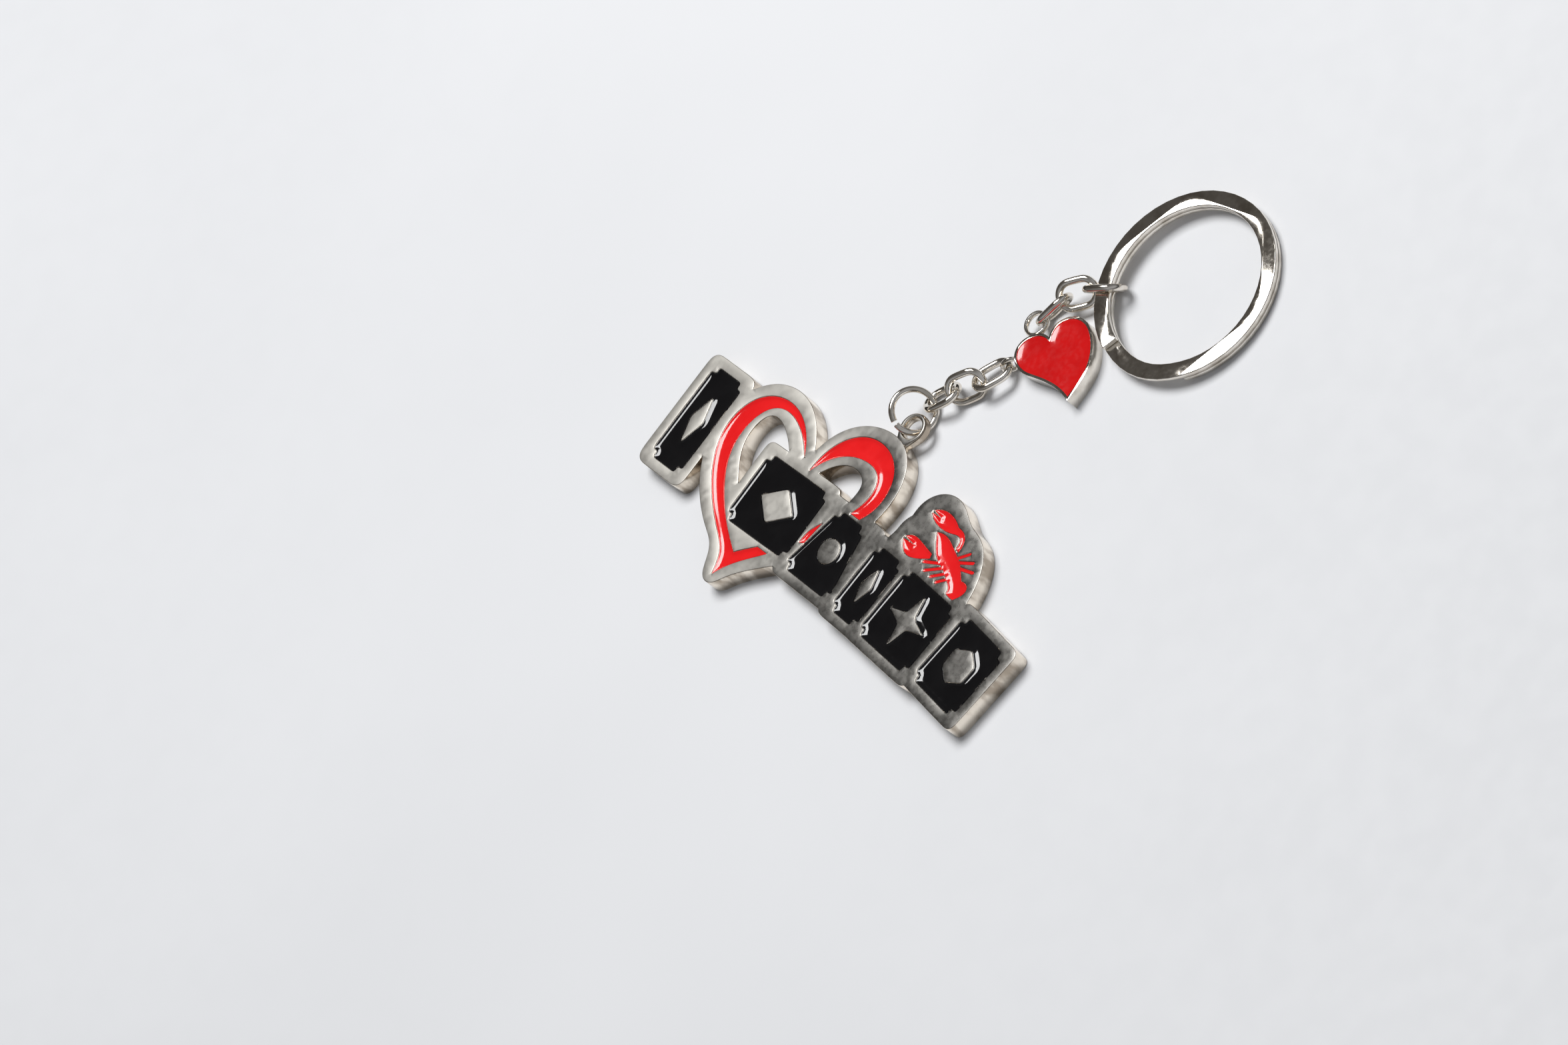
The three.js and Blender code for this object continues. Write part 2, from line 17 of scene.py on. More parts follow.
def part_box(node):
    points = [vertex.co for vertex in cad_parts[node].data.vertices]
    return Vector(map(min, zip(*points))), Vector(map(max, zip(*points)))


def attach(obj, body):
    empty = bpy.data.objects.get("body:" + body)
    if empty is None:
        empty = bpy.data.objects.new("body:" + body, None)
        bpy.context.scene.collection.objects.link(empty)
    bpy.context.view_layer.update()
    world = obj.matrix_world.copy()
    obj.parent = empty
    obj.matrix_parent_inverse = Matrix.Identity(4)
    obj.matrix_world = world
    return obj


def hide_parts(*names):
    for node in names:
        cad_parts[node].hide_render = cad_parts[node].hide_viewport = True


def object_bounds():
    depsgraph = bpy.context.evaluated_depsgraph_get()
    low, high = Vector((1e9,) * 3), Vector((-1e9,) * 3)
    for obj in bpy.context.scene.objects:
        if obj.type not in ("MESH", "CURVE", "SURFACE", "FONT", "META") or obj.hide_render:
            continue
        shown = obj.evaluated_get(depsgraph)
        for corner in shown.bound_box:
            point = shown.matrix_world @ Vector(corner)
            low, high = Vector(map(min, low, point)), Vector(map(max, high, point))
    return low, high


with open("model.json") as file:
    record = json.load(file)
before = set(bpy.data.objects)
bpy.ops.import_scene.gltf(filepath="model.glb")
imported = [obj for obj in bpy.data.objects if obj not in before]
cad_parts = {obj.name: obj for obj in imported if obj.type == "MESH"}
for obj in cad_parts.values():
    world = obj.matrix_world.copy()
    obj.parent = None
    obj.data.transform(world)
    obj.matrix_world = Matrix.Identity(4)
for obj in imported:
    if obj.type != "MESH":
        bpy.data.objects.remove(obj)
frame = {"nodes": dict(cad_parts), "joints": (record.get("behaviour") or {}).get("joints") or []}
CAD_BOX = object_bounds()

MM = 0.001

# Camera: the direction from the object to the camera, the picture's right-hand direction,
# and where the picture's middle is, measured from the plate's near left corner
VIEW_BACK = Vector((0.714, 0.0, 0.700))
VIEW_RIGHT = Vector((0.554, 0.605, -0.572))
VIEW_MIDDLE = {"corner": (1.665, 9.27), "right": 18.44, "up": -9.47}
VIEW_WIDTH = 213.8 * MM
CAMERA_DISTANCE = 1.6
SENSOR = 36.0

# Rounded edges and tolerances: the plate's edge is in mm, the other lengths in metres
PLATE_EDGE = 0.11
CHARM_EDGE = 0.09 * MM
RING_EDGE = 0.16 * MM
JUMP_RING_EDGE = 0.07 * MM
WELD_DISTANCE = 0.001 * MM
LEVEL_TOLERANCE = 0.01 * MM
FLAT_ANGLE = math.radians(2)
SHARP_ANGLE = math.radians(42)

# Outlines and the sheets between them, in mm
OUTLINE_STEP = 0.26
SHORTEST_EDGE = 0.05
CORNER_ANGLE = math.radians(24)
SOFTENING = 30
TILE_CORNER_ROUNDS = 3
CONTOUR_SHARE = 0.93
LEAST_REACH = 0.5
NUDGE = 0.0006
MEETING_DISTANCE = 1e-7
EDGE_CONTOURS = (0.12, 0.35, 0.65, 1.0)
FACE_STEP = 0.9

# Enamel and its cells, in mm
CELL_DEPTH = 0.65
ENAMEL_GAP = 0.04
ENAMEL_DEPTH = 0.45
ENAMEL_STEP = 0.22
MENISCUS_CONTOURS = (0.08, 0.14, 0.22, 0.32, 0.45, 0.62, 0.82)
MENISCUS_POWER = 1.3
LEAST_DISTANCE_SQUARED = 1e-4
PLATE_ENAMEL = {"rise": -0.01, "sink": 0.25, "width": 0.34}
CHARM_ENAMEL = {"rise": 0.03, "sink": 0.12, "width": 0.5, "overlap": 0.06}

# The plate's ear, in mm. Its section is squarer for a smaller "square", and its neck shorter
# for a larger "fade".
EAR_JOINT = "jump_ring_in_ear"
EAR = {"radius": 1.9, "wall": 0.8, "height": 1.5, "square": 0.75, "neck": 2.6, "fade": 6}
EAR_STEPS = 72

# Wire
WIRE_SIDES = 28
LINK_STEPS = 120
LINK_SHOULDER = 6
JUMP_STEPS = 150

# Enamel colours: clear, then clouded
BLACK = (0.002, 0.002, 0.003), (0.004, 0.004, 0.005)
RED = (0.93, 0.014, 0.016), (0.86, 0.010, 0.012)
CHARM_RED = (0.68, 0.005, 0.006), (0.60, 0.004, 0.005)

# Stage
FLOOR_HALF = 3.0
FLOOR_GAP = 0.02 * MM
KEY = {"right": -0.75, "up": 0.9, "back": 0.55, "distance": 0.9, "size": (0.5, 0.5), "power": 7.6}
ROOM_DARK_SIDE = (-0.714, 0.0, 0.70)
ROOM_PALE = (0.40, 0.41, 0.43)
ROOM_DARK = (0.085, 0.08, 0.075)
ROOM_DARK_FROM = 0.85
ROOM_STRENGTH = 0.9
HORIZON = {"From Min": 0.08, "From Max": 0.42, "To Min": 0.12, "To Max": 1.0}


# ---------------------------------------------------------------------------------------
# Meshes
# ---------------------------------------------------------------------------------------

def new_piece(name, points, faces, material, body, slot, *nodes):
    """A smooth-shaded mesh that rides a body and stands for the CAD nodes given."""
    mesh = bpy.data.meshes.new(name)
    mesh.from_pydata([tuple(p) for p in points], [], faces)
    mesh.validate()
    mesh.shade_smooth()
    mesh.materials.append(material)
    piece = bpy.data.objects.new(name, mesh)
    bpy.context.scene.collection.objects.link(piece)
    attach(piece, body)
    if nodes:
        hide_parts(*nodes)
    return piece


def vertices_of(node):
    mesh = frame["nodes"][node].data
    points = np.zeros(len(mesh.vertices) * 3)
    mesh.vertices.foreach_get("co", points)
    return np.unique(points.reshape(-1, 3).round(8), axis=0)


def round_edges(node, width, material):
    """Gives a CAD node a material and rounded edges, by modifiers on its own mesh."""
    piece = frame["nodes"][node]
    piece.data.materials.clear()
    piece.data.materials.append(material)
    piece.data.shade_smooth()
    weld = piece.modifiers.new("weld", "WELD")
    weld.merge_threshold = WELD_DISTANCE
    flat = piece.modifiers.new("flat faces", "DECIMATE")
    flat.decimate_type = "DISSOLVE"
    flat.angle_limit = FLAT_ANGLE
    bevel = piece.modifiers.new("rounded edges", "BEVEL")
    bevel.width = width
    bevel.segments = 3
    bevel.limit_method = "ANGLE"
    bevel.angle_limit = SHARP_ANGLE
    bevel.miter_outer = "MITER_ARC"
    bevel.harden_normals = True


# ---------------------------------------------------------------------------------------
# Outlines, in mm. A region lies on the left of its loops.
# ---------------------------------------------------------------------------------------

def face_loops(node, side=1):
    """The outlines of a node's top face (side 1) or bottom face (side -1), and its height."""
    bm = bmesh.new()
    bm.from_mesh(frame["nodes"][node].data)
    bmesh.ops.remove_doubles(bm, verts=bm.verts, dist=WELD_DISTANCE)
    level = side * max(side * v.co.z for v in bm.verts)
    flat = [face for face in bm.faces
            if all(abs(v.co.z - level) < LEVEL_TOLERANCE for v in face.verts)]
    chosen = set(flat)
    following = {}
    for face in flat:
        for loop in face.loops:
            if not any(other in chosen for other in loop.edge.link_faces if other is not face):
                following[loop.vert.index] = loop.link_loop_next.vert.index
    places = {v.index: (v.co.x / MM, v.co.y / MM) for v in bm.verts}
    bm.free()
    loops = []
    while following:
        first, at = following.popitem()
        chain = [first]
        while at != first:
            chain.append(at)
            at = following.pop(at)
        loop = np.array([places[i] for i in chain])[::side]
        apart = np.linalg.norm(loop - np.roll(loop, 1, 0), axis=1)
        loops.append(loop[apart > SHORTEST_EDGE])
    return loops, level / MM


def offset(loop, distance):
    """A closed outline moved to its right by a distance."""
    ahead = np.roll(loop, -1, 0) - loop
    ahead /= np.linalg.norm(ahead, axis=1)[:, None]
    normals = np.stack([ahead[:, 1], -ahead[:, 0]], 1)
    corner = normals + np.roll(normals, 1, 0)
    corner /= np.linalg.norm(corner, axis=1)[:, None]
    reach = np.maximum((corner * normals).sum(1), LEAST_REACH)
    return loop + corner * (distance / reach)[:, None]


def resampled(loop, step):
    """The outline with extra points, so that no stretch is longer than a step."""
    points = []
    for start, end in zip(loop, np.roll(loop, -1, 0)):
        count = max(1, math.ceil(np.linalg.norm(end - start) / step))
        points += [start + (end - start) * i / count for i in range(count)]
    return np.array(points)


def turning(loop):
    """How sharply the outline turns at each point, in radians."""
    ahead = np.roll(loop, -1, 0) - loop
    angle = np.arctan2(ahead[:, 1], ahead[:, 0])
    turn = angle - np.roll(angle, 1)
    return np.abs((turn + math.pi) % (2 * math.pi) - math.pi)


def relaxed(loop, held, rounds):
    """The outline after each free point has been drawn towards its neighbours."""
    for _ in range(rounds):
        between = (np.roll(loop, 1, 0) + np.roll(loop, -1, 0)) / 2
        loop = np.where(held, loop, (loop + between) / 2)
    return loop


def softened(loop, corner_rounds=0):
    """A finer outline whose shallow corners are smoothed into curves.

    Sharp corners stay sharp, or are rounded a little by the rounds given.
    """
    fine = resampled(loop, OUTLINE_STEP)
    held = (turning(fine) > CORNER_ANGLE)[:, None]
    return relaxed(relaxed(fine, held, SOFTENING), False, corner_rounds)


def inside(points, loops):
    """Which points lie inside the outlines, counting crossings to the right."""
    within = np.zeros(len(points), bool)
    x, y = points[:, 0], points[:, 1]
    for loop in loops:
        for (x1, y1), (x2, y2) in zip(loop, np.roll(loop, -1, 0)):
            if y1 == y2:
                continue
            crosses = (y1 > y) != (y2 > y)
            within ^= crosses & (x < x1 + (y - y1) * (x2 - x1) / (y2 - y1))
    return within


def distance_to(points, loops):
    """How far each point is from the outlines, tested on the stretches by the nearest corners."""
    corners = np.concatenate(loops)
    after = np.concatenate([np.roll(loop, -1, 0) for loop in loops])
    before = np.concatenate([np.roll(loop, 1, 0) for loop in loops])
    tree = kdtree.KDTree(len(corners))
    for i, (x, y) in enumerate(corners):
        tree.insert((x, y, 0), i)
    tree.balance()
    near = np.array([[hit[1] for hit in tree.find_n((x, y, 0), 3)] for x, y in points])
    best = np.full(len(points), np.inf)
    for column in near.T:
        for start, end in ((corners[column], after[column]), (before[column], corners[column])):
            along = end - start
            share = ((points - start) * along).sum(1) / (along ** 2).sum(1)
            foot = start + share.clip(0, 1)[:, None] * along
            best = np.minimum(best, np.linalg.norm(points - foot, axis=1))
    return best


def region_faces(places, faces, edges, loops):
    """The triangles inside the outlines.

    Each largest triangle is tested, and the answer spreads to its neighbours as far as the
    outline's edges, so slivers along a straight edge fall on the right side of it.
    """
    fence = {frozenset(edge) for edge in edges}
    beside = {}
    for i, (a, b, c) in enumerate(faces):
        for edge in (frozenset((a, b)), frozenset((b, c)), frozenset((c, a))):
            if edge not in fence:
                beside.setdefault(edge, []).append(i)
    neighbours = [[] for _ in faces]
    for pair in beside.values():
        if len(pair) == 2:
            neighbours[pair[0]].append(pair[1])
            neighbours[pair[1]].append(pair[0])
    corners = places[np.array(faces)]
    sides = corners[:, 1:] - corners[:, :1]
    area = np.abs(sides[:, 0, 0] * sides[:, 1, 1] - sides[:, 0, 1] * sides[:, 1, 0])
    within = inside(corners.mean(1), loops)
    kept = {}
    for largest in np.argsort(-area, kind="stable").tolist():
        waiting = [] if largest in kept else [largest]
        while waiting:
            i = waiting.pop()
            if i not in kept:
                kept[i] = bool(within[largest])
                waiting += neighbours[i]
    return [face for i, face in enumerate(faces) if kept[i]]


def filled(loops, contours=(), step=None):
    """Triangles over a region, finer near its edge. The outline's points come first.

    Returns the points, how deep each is inside the region, the triangles and the edges.
    """
    extra = []
    for contour in contours:
        for loop in loops:
            ring = offset(loop, -contour)
            extra.append(ring[distance_to(ring, loops) > CONTOUR_SHARE * contour])
    if step:
        corners = np.concatenate(loops)
        (left, low), (right, high) = corners.min(0), corners.max(0)
        field = np.stack(np.meshgrid(np.arange(left, right, step), np.arange(low, high, step)),
                         -1).reshape(-1, 2)
        margin = max(contours) + step / 2
        extra.append(field[distance_to(field, loops) > margin])
    edges = []
    count = 0
    for loop in loops:
        edges += [(count + i, count + (i + 1) % len(loop)) for i in range(len(loop))]
        count += len(loop)
    points = np.concatenate(loops)
    if extra:
        extra = np.concatenate(extra)
        points = np.concatenate([points, extra[inside(extra, loops)]])
    # points in a perfectly straight row would give triangles with no area, so each is nudged
    nudged = points + np.random.default_rng(1).uniform(-NUDGE, NUDGE, points.shape)
    places, _, faces, *_ = geometry.delaunay_2d_cdt(
        [Vector(p) for p in nudged], edges, [], 0, MEETING_DISTANCE, False)
    if len(places) != len(points):
        raise ValueError(f"the outline crosses itself: {len(points)} points, {len(places)} made")
    nudged = np.array([tuple(place) for place in places])
    outline = np.split(nudged[:count], np.cumsum([len(loop) for loop in loops])[:-1])
    faces = region_faces(nudged, [tuple(face) for face in faces], edges, outline)
    depth = distance_to(points, loops)
    depth[:count] = 0
    return points, depth, faces, edges


class Body:
    """Collects flat sheets and the walls between them, in mm, into one closed mesh."""

    def __init__(self):
        self.points = []
        self.faces = []

    def sheet(self, places, heights, faces, flip=False):
        """Adds a sheet, and says where its points start."""
        start = len(self.points)
        self.points += [(x * MM, y * MM, z * MM) for (x, y), z in zip(places, heights)]
        turn = -1 if flip else 1
        self.faces += [tuple(start + i for i in face[::turn]) for face in faces]
        return start

    def wall(self, upper, lower, edges):
        """Joins two copies of an outline, the region on the left of its edges."""
        self.faces += [(lower + a, lower + b, upper + b, upper + a) for a, b in edges]


# ---------------------------------------------------------------------------------------
# The cast plate
# ---------------------------------------------------------------------------------------

def rounding(depth, radius):
    """How far a rounded edge has dropped at this depth inside its outline."""
    inward = np.clip(radius - depth, 0, radius)
    return radius - np.sqrt(radius ** 2 - inward ** 2)


def is_tile(node):
    return node.startswith(("tall_tile", "tile"))


def cell_loops(node):
    """The walls of the cell that a filling sits in. The tiles' corners are slightly round."""
    rounds = TILE_CORNER_ROUNDS if is_tile(node) else 0
    return [softened(offset(loop, ENAMEL_GAP), rounds) for loop in face_loops(node)[0]]


def cast_body(name, node, fillings, edge, material, body, slot):
    """A casting with a rounded outline, windows right through, and a cell for each filling."""
    back, bottom = face_loops(node, -1)
    back = [softened(loop) for loop in back]
    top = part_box(node)[1].z / MM
    cells = [cell_loops(filling) for filling in fillings]
    front = back + [loop[::-1] for cell in cells for loop in cell]
    contours = tuple(edge * share for share in EDGE_CONTOURS)
    whole = Body()
    places, depth, faces, edges = filled(front, contours, FACE_STEP)
    upper = whole.sheet(places, top - rounding(depth, edge), faces)
    lower_places, lower_depth, lower_faces, lower_edges = filled(back, contours, FACE_STEP)
    lower = whole.sheet(lower_places, bottom + rounding(lower_depth, edge), lower_faces, True)
    whole.wall(upper, lower, lower_edges)
    begin = len(np.concatenate(back))
    for cell in cells:
        floor_places, _, floor_faces, _ = filled(cell)
        floor = whole.sheet(floor_places, np.full(len(floor_places), top - CELL_DEPTH),
                            floor_faces)
        for loop in cell:
            count = len(loop)
            for i in range(count):
                here, there = begin + count - 1 - i, begin + (2 * count - 2 - i) % count
                whole.faces.append((upper + here, floor + i, floor + (i + 1) % count,
                                    upper + there))
            floor += count
            begin += count
    new_piece(name, whole.points, whole.faces, material, body, slot, node)


# ---------------------------------------------------------------------------------------
# Enamel
# ---------------------------------------------------------------------------------------

def soft_depth(points, loops):
    """Depth inside the outlines, without a crease where two walls are equally near.

    It adds up 1 / distance cubed along every stretch of wall. A long straight wall alone
    gives 2 / depth squared, so near one wall this is the plain depth.
    """
    total = np.zeros(len(points))
    for loop in loops:
        for start, end in zip(loop, np.roll(loop, -1, 0)):
            length = np.linalg.norm(end - start)
            x, y = (end - start) / length
            first = (start - points) @ (x, y)
            last = first + length
            apart = np.maximum(((start - points) @ (-y, x)) ** 2, LEAST_DISTANCE_SQUARED)
            total += (last / np.sqrt(apart + last ** 2)
                      - first / np.sqrt(apart + first ** 2)) / apart
    return np.sqrt(2 / total)


def enamel(node, material, body, slot, rise, sink, width, overlap=0.0):
    """Fired enamel: level with its cell's rim at the wall and dished towards the middle."""
    top = face_loops(node)[1]
    walls = cell_loops(node)
    loops = [offset(loop, overlap) for loop in walls]
    places, _, faces, edges = filled(loops, MENISCUS_CONTOURS, ENAMEL_STEP)
    depth = np.where(inside(places, walls), soft_depth(places, walls), 0)
    dish = 1 - np.exp(-(depth / width) ** MENISCUS_POWER)
    whole = Body()
    upper = whole.sheet(places, top + rise - sink * dish, faces)
    lower_places, _, lower_faces, _ = filled(loops)
    level = np.full(len(lower_places), top - ENAMEL_DEPTH)
    lower = whole.sheet(lower_places, level, lower_faces, True)
    whole.wall(upper, lower, edges)
    new_piece(node.replace("_enamel", "_fill"), whole.points, whole.faces, material, body, slot,
              node)


# ---------------------------------------------------------------------------------------
# Round wire
# ---------------------------------------------------------------------------------------

def measured(node):
    """The middle of a node, its own directions from longest to shortest, and its sizes."""
    points = vertices_of(node)
    middle = points.mean(0)
    axes = np.linalg.svd(points - middle, full_matrices=False)[2]
    spread = (points - middle) @ axes.T
    low, high = spread.min(0), spread.max(0)
    return middle + ((low + high) / 2) @ axes, axes, high - low


def wire_along(path, normal, radius, closed):
    """Round wire along a flat path of points. Open wire has flat ends."""
    ahead = np.roll(path, -1, 0) - np.roll(path, 1, 0)
    if not closed:
        ahead[0] = path[1] - path[0]
        ahead[-1] = path[-1] - path[-2]
    ahead /= np.linalg.norm(ahead, axis=1)[:, None]
    across = np.cross(ahead, normal)
    turns = np.linspace(0, 2 * math.pi, WIRE_SIDES, endpoint=False)
    points = []
    for centre, side in zip(path, across):
        points += [centre + radius * (math.cos(t) * side + math.sin(t) * normal)
                   for t in turns]
    faces = []
    rings = len(path) if closed else len(path) - 1
    for i in range(rings):
        here, there = i * WIRE_SIDES, (i + 1) % len(path) * WIRE_SIDES
        for k in range(WIRE_SIDES):
            n = (k + 1) % WIRE_SIDES
            faces.append((here + k, there + k, there + n, here + n))
    if not closed:
        faces.append(tuple(range(WIRE_SIDES)))
        faces.append(tuple(reversed(range(rings * WIRE_SIDES, (rings + 1) * WIRE_SIDES))))
    return points, faces


def add_link(node, material):
    """A link: two half rounds of wire joined by straight sides."""
    middle, axes, (length, width, wire) = measured(node)
    reach = (width - wire) / 2
    stretch = (length - width) / 2
    path = []
    for turn in np.linspace(0, 2 * math.pi, LINK_STEPS, endpoint=False):
        x = reach * math.cos(turn)
        side = math.tanh(x / reach * LINK_SHOULDER)
        path.append(middle + (x + side * stretch) * axes[0] + reach * math.sin(turn) * axes[1])
    points, faces = wire_along(np.array(path), np.cross(axes[0], axes[1]), wire / 2, True)
    new_piece(node + "_wire", points, faces, material, node, "polished_nickel", node)


def add_jump_ring(node, material):
    """An open ring of round wire, with its opening where the CAD ring has it."""
    points = vertices_of(node)
    start = points.mean(0)
    axes = np.linalg.svd(points - start, full_matrices=False)[2]
    flat = (points - start) @ axes.T
    wire = flat[:, 2].max() - flat[:, 2].min()
    known = np.column_stack([2 * flat[:, :2], np.ones(len(flat))])
    centre = np.linalg.lstsq(known, (flat[:, :2] ** 2).sum(1), rcond=None)[0][:2]
    arms = flat[:, :2] - centre
    reach = np.linalg.norm(arms, axis=1).max() - wire / 2
    angles = np.sort(np.arctan2(arms[:, 1], arms[:, 0]))
    steps = np.diff(np.append(angles, angles[0] + 2 * math.pi))
    widest = steps.argmax()
    begin = angles[widest] + steps[widest]
    end = angles[widest] + 2 * math.pi
    path = [start + (centre[0] + reach * math.cos(t)) * axes[0]
            + (centre[1] + reach * math.sin(t)) * axes[1]
            for t in np.linspace(begin, end, JUMP_STEPS)]
    points, faces = wire_along(np.array(path), np.cross(axes[0], axes[1]), wire / 2, False)
    piece = new_piece(node + "_wire", points, faces, material, node, "polished_nickel", node)
    soft = piece.modifiers.new("rounded ends", "BEVEL")
    soft.width = JUMP_RING_EDGE
    soft.segments = 2
    soft.limit_method = "ANGLE"
    soft.angle_limit = SHARP_ANGLE
    soft.harden_normals = True


def add_ear(material):
    """The plate's ear: a ring with an oval section, on a short neck."""
    centre = np.array(next(j["pos_m"] for j in frame["joints"] if j["name"] == EAR_JOINT)) / MM
    centre[2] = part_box("pendant_plate")[1].z / MM - EAR["height"] / 2
    turns = np.linspace(0, 2 * math.pi, WIRE_SIDES, endpoint=False)
    rounds = np.linspace(0, 2 * math.pi, EAR_STEPS, endpoint=False)
    points = []
    for around in rounds:
        # the ring swells into its neck where it meets the heart
        swell = 1 + EAR["neck"] * max(0.0, -math.sin(around)) ** EAR["fade"]
        for turn in turns:
            out = math.copysign(abs(math.cos(turn)) ** EAR["square"], math.cos(turn))
            lift = math.copysign(abs(math.sin(turn)) ** EAR["square"], math.sin(turn))
            stretch = swell if out > 0 else 1
            reach = EAR["radius"] + out * EAR["wall"] / 2 * stretch
            points.append((centre + (reach * math.cos(around), reach * math.sin(around),
                                     lift * EAR["height"] / 2)) * MM)
    faces = []
    for i in range(EAR_STEPS):
        here, there = i * WIRE_SIDES, (i + 1) % EAR_STEPS * WIRE_SIDES
        for k in range(WIRE_SIDES):
            n = (k + 1) % WIRE_SIDES
            faces.append((here + k, there + k, there + n, here + n))
    new_piece("cast_ear", points, faces, material, "pendant", "cast_nickel")


# ---------------------------------------------------------------------------------------
# Materials
# ---------------------------------------------------------------------------------------

class Surface:
    """A principled material and a few node helpers. Noise scales are in features per mm."""

    def __init__(self, name, **sockets):
        self.material = bpy.data.materials.new(name)
        self.material.use_nodes = True
        self.tree = self.material.node_tree
        self.shader = self.tree.nodes["Principled BSDF"]
        self.place = self.tree.nodes.new("ShaderNodeTexCoord").outputs["Object"]
        for socket, value in sockets.items():
            self.shader.inputs[socket.replace("_", " ")].default_value = value

    def join(self, output, node, socket):
        self.tree.links.new(output, node.inputs[socket])

    def noise(self, per_mm, detail=3.0, stretch=None):
        texture = self.tree.nodes.new("ShaderNodeTexNoise")
        texture.inputs["Scale"].default_value = per_mm / MM
        texture.inputs["Detail"].default_value = detail
        place = self.place
        if stretch:
            mapping = self.tree.nodes.new("ShaderNodeMapping")
            mapping.inputs["Scale"].default_value = stretch
            self.join(place, mapping, "Vector")
            place = mapping.outputs["Vector"]
        self.join(place, texture, "Vector")
        return texture.outputs["Fac"]

    def spread(self, value, low, high, out_low, out_high):
        spread = self.tree.nodes.new("ShaderNodeMapRange")
        spread.interpolation_type = "SMOOTHSTEP"
        for name, number in zip(("From Min", "From Max", "To Min", "To Max"),
                                (low, high, out_low, out_high)):
            spread.inputs[name].default_value = number
        self.join(value, spread, "Value")
        return spread.outputs["Result"]

    def mix(self, share, first, second):
        mix = self.tree.nodes.new("ShaderNodeMix")
        mix.data_type = "RGBA"
        self.join(share, mix, "Factor")
        for index, colour in ((6, first), (7, second)):
            if isinstance(colour, tuple):
                mix.inputs[index].default_value = (*colour, 1)
            else:
                self.tree.links.new(colour, mix.inputs[index])
        return mix.outputs[2]

    def part(self, vector, letter):
        split = self.tree.nodes.new("ShaderNodeSeparateXYZ")
        self.join(vector, split, "Vector")
        return split.outputs[letter]

    def blend(self, share, first, second):
        mix = self.tree.nodes.new("ShaderNodeMix")
        self.join(share, mix, "Factor")
        self.tree.links.new(first, mix.inputs[2])
        self.tree.links.new(second, mix.inputs[3])
        return mix.outputs[0]

    def bump(self, height, depth, strength=1.0, under=None):
        bump = self.tree.nodes.new("ShaderNodeBump")
        bump.inputs["Strength"].default_value = strength
        bump.inputs["Distance"].default_value = depth * MM
        self.join(height, bump, "Height")
        if under:
            self.join(under, bump, "Normal")
        return bump.outputs["Normal"]

    def set(self, socket, output):
        self.tree.links.new(output, self.shader.inputs[socket])


def cast_nickel():
    """Plated casting: a satin, slightly mottled face, brighter and smoother on its walls.

    The face's colour darkens along X and the walls' colour runs from cream into brown patches:
    both are painted reflection of the room they mirror.
    """
    surface = Surface("cast nickel", Metallic=1.0)
    normal = surface.tree.nodes.new("ShaderNodeNewGeometry").outputs["Normal"]
    face = surface.spread(surface.part(normal, "Z"), 0.80, 0.99, 0.0, 1.0)
    # painted reflection: the face's colour fades along X from a lit tone to a shaded one
    painted_reflection_fade = surface.spread(surface.part(surface.place, "X"), -0.018, 0.004, 0.0, 1.0)
    clouds = surface.spread(surface.noise(0.28, 5.0), 0.36, 0.66, 0.0, 1.0)
    # a lit and a darker copy of the face colour, for painted reflection; the clouds within each
    # are real mottling
    satin = surface.mix(clouds, (0.40, 0.385, 0.355), (0.47, 0.455, 0.42))
    mottled = surface.mix(clouds, (0.165, 0.16, 0.15), (0.24, 0.232, 0.217))
    tone = surface.mix(painted_reflection_fade, satin, mottled)
    # painted reflection: the walls' cream and brown patches stand for the room they mirror
    painted_reflection_patches = surface.spread(surface.noise(0.45, 3.0, (1.0, 1.0, 0.4)), 0.38, 0.62, 0.0, 1.0)
    wall = surface.mix(painted_reflection_patches, (0.90, 0.82, 0.71), (0.42, 0.355, 0.285))
    surface.set("Base Color", surface.mix(face, wall, tone))
    grain = surface.noise(1.1, 5.0)
    smooth = surface.spread(grain, 0.3, 0.75, 0.10, 0.20)
    dull = surface.spread(grain, 0.3, 0.75, 0.40, 0.48)
    bare = surface.spread(grain, 0.3, 0.72, 0.25, 0.33)
    surface.set("Roughness", surface.blend(face, smooth, surface.blend(painted_reflection_fade, dull, bare)))
    waves = surface.bump(surface.noise(0.35, 2.0), 0.03, 0.4)
    ripples = surface.bump(surface.noise(1.6, 3.0), 0.002, 0.5, waves)
    surface.set("Normal", ripples)
    return surface.material


def polished_nickel():
    """Bright plate over drawn wire: small waves, faint scratches and slight tarnish."""
    surface = Surface("polished nickel", Metallic=1.0)
    tarnish = surface.spread(surface.noise(0.4, 4.0), 0.4, 0.72, 0.0, 1.0)
    surface.set("Base Color", surface.mix(tarnish, (0.86, 0.81, 0.735), (0.60, 0.545, 0.47)))
    surface.set("Roughness", surface.spread(surface.noise(1.8, 4.0), 0.3, 0.75, 0.07, 0.12))
    waves = surface.bump(surface.noise(0.2, 1.0), 0.012, 0.3)
    scratches = surface.noise(3.0, 2.0, (1.0, 7.0, 1.0))
    surface.set("Normal", surface.bump(scratches, 0.0005, 0.5, waves))
    return surface.material


def enamel_material(name, clear, clouded, roughness):
    """Gloss enamel: even colour with faint clouding, and a nearly flat surface."""
    surface = Surface(name, Coat_Weight=0.6, Coat_Roughness=0.04, IOR=1.5)
    clouds = surface.spread(surface.noise(0.3, 3.0), 0.35, 0.7, 0.0, 1.0)
    surface.set("Base Color", surface.mix(clouds, clear, clouded))
    surface.set("Roughness", surface.spread(surface.noise(1.5, 3.0), 0.3, 0.7,
                                            roughness, roughness * 1.8))
    surface.set("Normal", surface.bump(surface.noise(0.6, 2.0), 0.012, 0.5))
    return surface.material


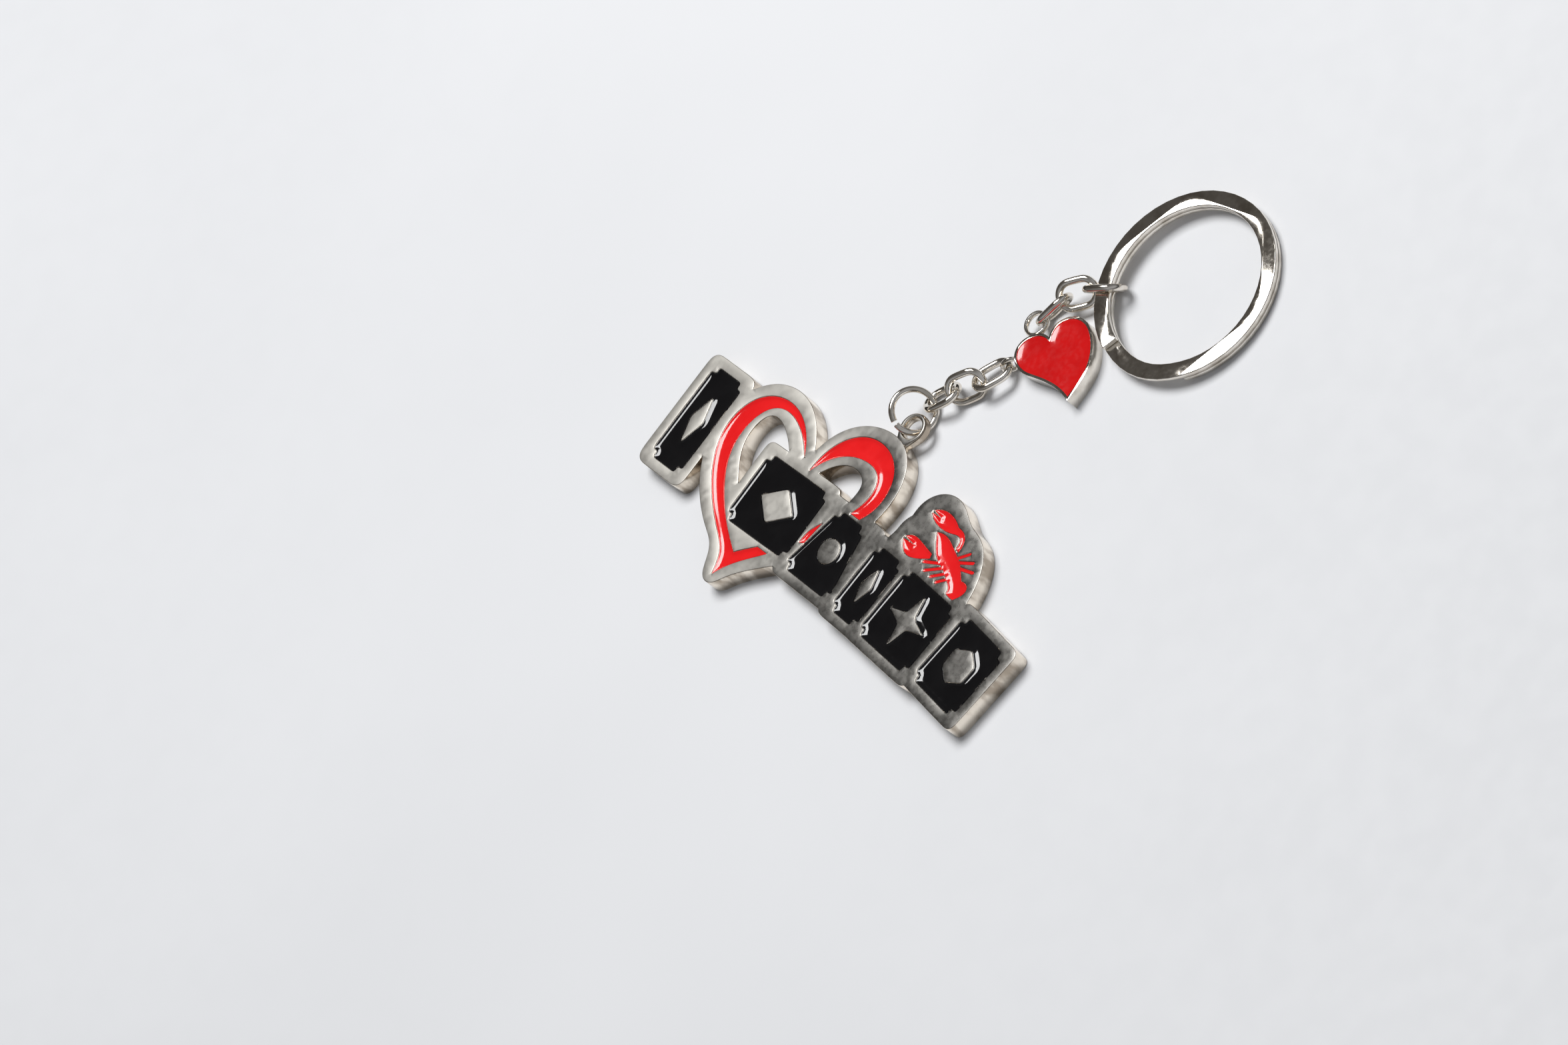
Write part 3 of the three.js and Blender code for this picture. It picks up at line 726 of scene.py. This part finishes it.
def floor_material():
    surface = Surface("pale table")
    clouds = surface.spread(surface.noise(0.01, 3.0), 0.3, 0.7, 0.0, 1.0)
    surface.set("Base Color", surface.mix(clouds, (0.80, 0.81, 0.83), (0.83, 0.84, 0.86)))
    surface.set("Roughness", surface.spread(surface.noise(0.2, 4.0), 0.3, 0.7, 0.5, 0.62))
    return surface.material


# ---------------------------------------------------------------------------------------
# Stage: floor, light and camera
# ---------------------------------------------------------------------------------------

def picture_directions():
    back = VIEW_BACK.normalized()
    right = (VIEW_RIGHT - back * VIEW_RIGHT.dot(back)).normalized()
    return right, back.cross(right), back


def add_floor():
    level = CAD_BOX[0][2] - FLOOR_GAP
    corners = [(x * FLOOR_HALF, y * FLOOR_HALF, level)
               for x, y in ((-1, -1), (1, -1), (1, 1), (-1, 1))]
    mesh = bpy.data.meshes.new("floor")
    mesh.from_pydata(corners, [], [(0, 1, 2, 3)])
    mesh.materials.append(floor_material())
    floor = bpy.data.objects.new("floor", mesh)
    bpy.context.scene.collection.objects.link(floor)


def add_key():
    """A soft square light above the object's left, as the camera sees it."""
    right, up, back = picture_directions()
    direction = (KEY["right"] * right + KEY["up"] * up + KEY["back"] * back).normalized()
    data = bpy.data.lights.new("key", "AREA")
    data.shape = "RECTANGLE"
    data.size, data.size_y = KEY["size"]
    data.energy = KEY["power"]
    light = bpy.data.objects.new("key", data)
    light.location = direction * KEY["distance"]
    light.rotation_euler = direction.to_track_quat("Z", "Y").to_euler()
    bpy.context.scene.collection.objects.link(light)


def add_world():
    """A pale room, dark low down and on the side that the plate's face mirrors."""
    world = bpy.data.worlds.new("room")
    bpy.context.scene.world = world
    world.use_nodes = True
    tree = world.node_tree
    place = tree.nodes.new("ShaderNodeTexCoord").outputs["Generated"]
    along = tree.nodes.new("ShaderNodeVectorMath")
    along.operation = "DOT_PRODUCT"
    along.inputs[1].default_value = ROOM_DARK_SIDE
    tree.links.new(place, along.inputs[0])
    ramp = tree.nodes.new("ShaderNodeValToRGB")
    ramp.color_ramp.elements[0].position = 0.0
    ramp.color_ramp.elements[0].color = (*ROOM_PALE, 1)
    ramp.color_ramp.elements[1].position = ROOM_DARK_FROM
    ramp.color_ramp.elements[1].color = (*ROOM_DARK, 1)
    tree.links.new(along.outputs["Value"], ramp.inputs["Fac"])
    height = tree.nodes.new("ShaderNodeSeparateXYZ")
    tree.links.new(place, height.inputs["Vector"])
    dark = tree.nodes.new("ShaderNodeMapRange")
    dark.interpolation_type = "SMOOTHSTEP"
    for socket, value in HORIZON.items():
        dark.inputs[socket].default_value = value
    tree.links.new(height.outputs["Z"], dark.inputs["Value"])
    shade = tree.nodes.new("ShaderNodeVectorMath")
    shade.operation = "SCALE"
    tree.links.new(ramp.outputs["Color"], shade.inputs[0])
    tree.links.new(dark.outputs["Result"], shade.inputs["Scale"])
    tree.links.new(shade.outputs["Vector"], tree.nodes["Background"].inputs["Color"])
    tree.nodes["Background"].inputs["Strength"].default_value = ROOM_STRENGTH


def add_camera():
    right, up, back = picture_directions()
    low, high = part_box("pendant_plate")
    corner_x, corner_y = VIEW_MIDDLE["corner"]
    corner = Vector((low.x + corner_x * MM, low.y + corner_y * MM, high.z))
    aim = corner + right * VIEW_MIDDLE["right"] * MM + up * VIEW_MIDDLE["up"] * MM
    data = bpy.data.cameras.new("camera")
    data.sensor_width = SENSOR
    data.lens = SENSOR * CAMERA_DISTANCE / VIEW_WIDTH
    camera = bpy.data.objects.new("camera", data)
    camera.matrix_world = Matrix.Translation(aim + back * CAMERA_DISTANCE) @ Matrix(
        (right, up, back)).transposed().to_4x4()
    bpy.context.scene.collection.objects.link(camera)
    bpy.context.scene.camera = camera


# ---------------------------------------------------------------------------------------
# Putting it together
# ---------------------------------------------------------------------------------------

metal = cast_nickel()
bright = polished_nickel()
black = enamel_material("black enamel", *BLACK, 0.05)
red = enamel_material("red enamel", *RED, 0.08)
charm_red = enamel_material("charm red enamel", *CHARM_RED, 0.1)

fillings = [name for name in sorted(frame["nodes"]) if name.endswith("_enamel")]
fillings.remove("charm_enamel")
cast_body("cast_plate", "pendant_plate", fillings, PLATE_EDGE, metal, "pendant", "cast_nickel")
add_ear(metal)
round_edges("charm_body", CHARM_EDGE, bright)
round_edges("split_ring", RING_EDGE, bright)

for name in sorted(frame["nodes"]):
    if name == "charm_enamel":
        enamel(name, charm_red, "charm", "charm_red_enamel", **CHARM_ENAMEL)
    elif is_tile(name):
        enamel(name, black, "pendant", "black_enamel", **PLATE_ENAMEL)
    elif name.endswith("_enamel"):
        enamel(name, red, "pendant", "red_enamel", **PLATE_ENAMEL)
    elif name.startswith("chain_link"):
        add_link(name, bright)
    elif name == "jump_ring":
        add_jump_ring(name, bright)

add_floor()
add_world()
add_key()
add_camera()
bpy.context.scene.view_settings.view_transform = "Standard"
